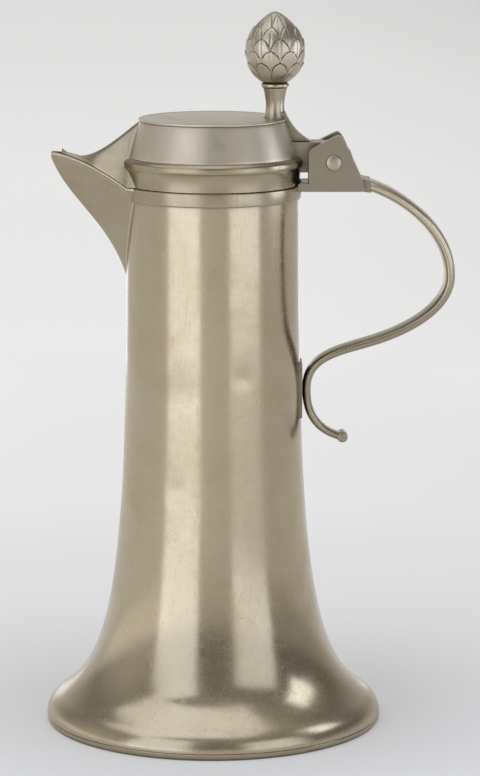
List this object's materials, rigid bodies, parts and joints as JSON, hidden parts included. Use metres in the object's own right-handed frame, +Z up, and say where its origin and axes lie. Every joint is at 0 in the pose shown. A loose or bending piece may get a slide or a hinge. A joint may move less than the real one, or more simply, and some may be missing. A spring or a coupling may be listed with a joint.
{
  "type": "claret jug",
  "caption": "Tall waisted metal jug on a trumpet foot, with a covered beak spout, a hinged flat-topped lid with a bud thumbpiece, and a strap handle with a curled tail.",
  "frame": {"origin": "centre of the circle that the foot stands on, at table level", "axes": "+Z up along the jug's axis, +X towards the handle and hinge, the spout points along -X, and the hinge pin lies along Y"},
  "size_m": [0.1942, 0.16, 0.3381],
  "materials": {
    "silver": "old polished silver with a warm tarnish and fine wear scratches",
    "silver_inside": "dull unpolished silver inside and underneath",
    "hinge_silver": "cast silver, darker in its corners",
    "bud_silver": "cast and chased silver, dark in the chasing",
    "pin": "drawn wire, riveted at both ends"
  },
  "bodies": {
    "jug": {"body_shell": "silver", "vessel_floor": "silver_inside", "foot_skirt": "silver", "foot_rim": "silver", "mouth_band": "silver", "spout_beak": "silver", "spout_lip": "silver", "hinge_bracket": "hinge_silver", "hinge_pin": "pin", "handle_strap": "silver", "handle_pad": "hinge_silver"},
    "lid": {"lid_rim_band": "silver", "lid_side": "silver", "lid_top": "silver", "lid_bezel": "silver_inside", "lid_tongue": "silver", "hinge_leaf": "hinge_silver", "thumb_web": "hinge_silver", "thumb_stem": "silver", "thumb_collar": "silver", "thumb_bud": "bud_silver"}
  },
  "joints": [
    {"name": "lid_hinge", "type": "hinge", "parent": "jug", "child": "lid", "pos_m": [0.0565, 0, 0.2685], "axis": [0, 1, 0], "range_deg": [0, 105]}
  ]
}
